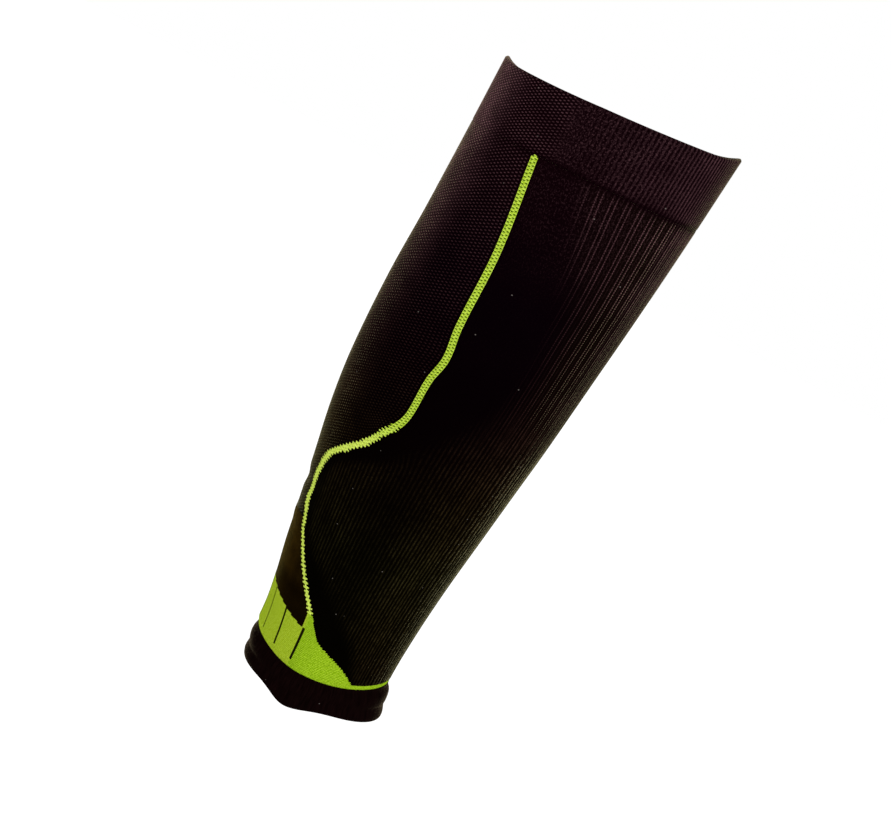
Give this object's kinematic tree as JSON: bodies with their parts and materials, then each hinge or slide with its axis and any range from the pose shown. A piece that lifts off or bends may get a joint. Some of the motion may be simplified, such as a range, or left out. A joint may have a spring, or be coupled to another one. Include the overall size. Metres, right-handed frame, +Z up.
{
  "type": "calf compression sleeve",
  "caption": "Knitted compression sleeve for the calf, open at both ends, with a welt, a mesh calf zone, a ribbed shin zone, contrast stripes, an ankle block and a cuff.",
  "frame": {"origin": "on the leg's axis at the calf's fullest level, where the worn sleeve sits", "axes": "+Z up the leg, -Y toward the shin, +Y toward the calf, -X toward the wearer's right"},
  "size_m": [0.114, 0.1272, 0.3441],
  "materials": {
    "dark_knit": "matte stretch knit, near black with an aubergine cast",
    "dark_jersey": "matte plain jersey, near black and a little brown",
    "lime_knit": "matte stretch knit, lime"
  },
  "bodies": {
    "root": {"top_welt": "dark_knit", "calf_panel": "dark_knit", "achilles_panel": "dark_jersey", "front_panel": "dark_knit", "stripe_right": "lime_knit", "stripe_left": "lime_knit", "ankle_panel": "lime_knit", "ankle_flank_right": "lime_knit", "ankle_flank_left": "lime_knit", "ankle_ring": "lime_knit", "bottom_cuff": "dark_knit"}
  },
  "joints": []
}
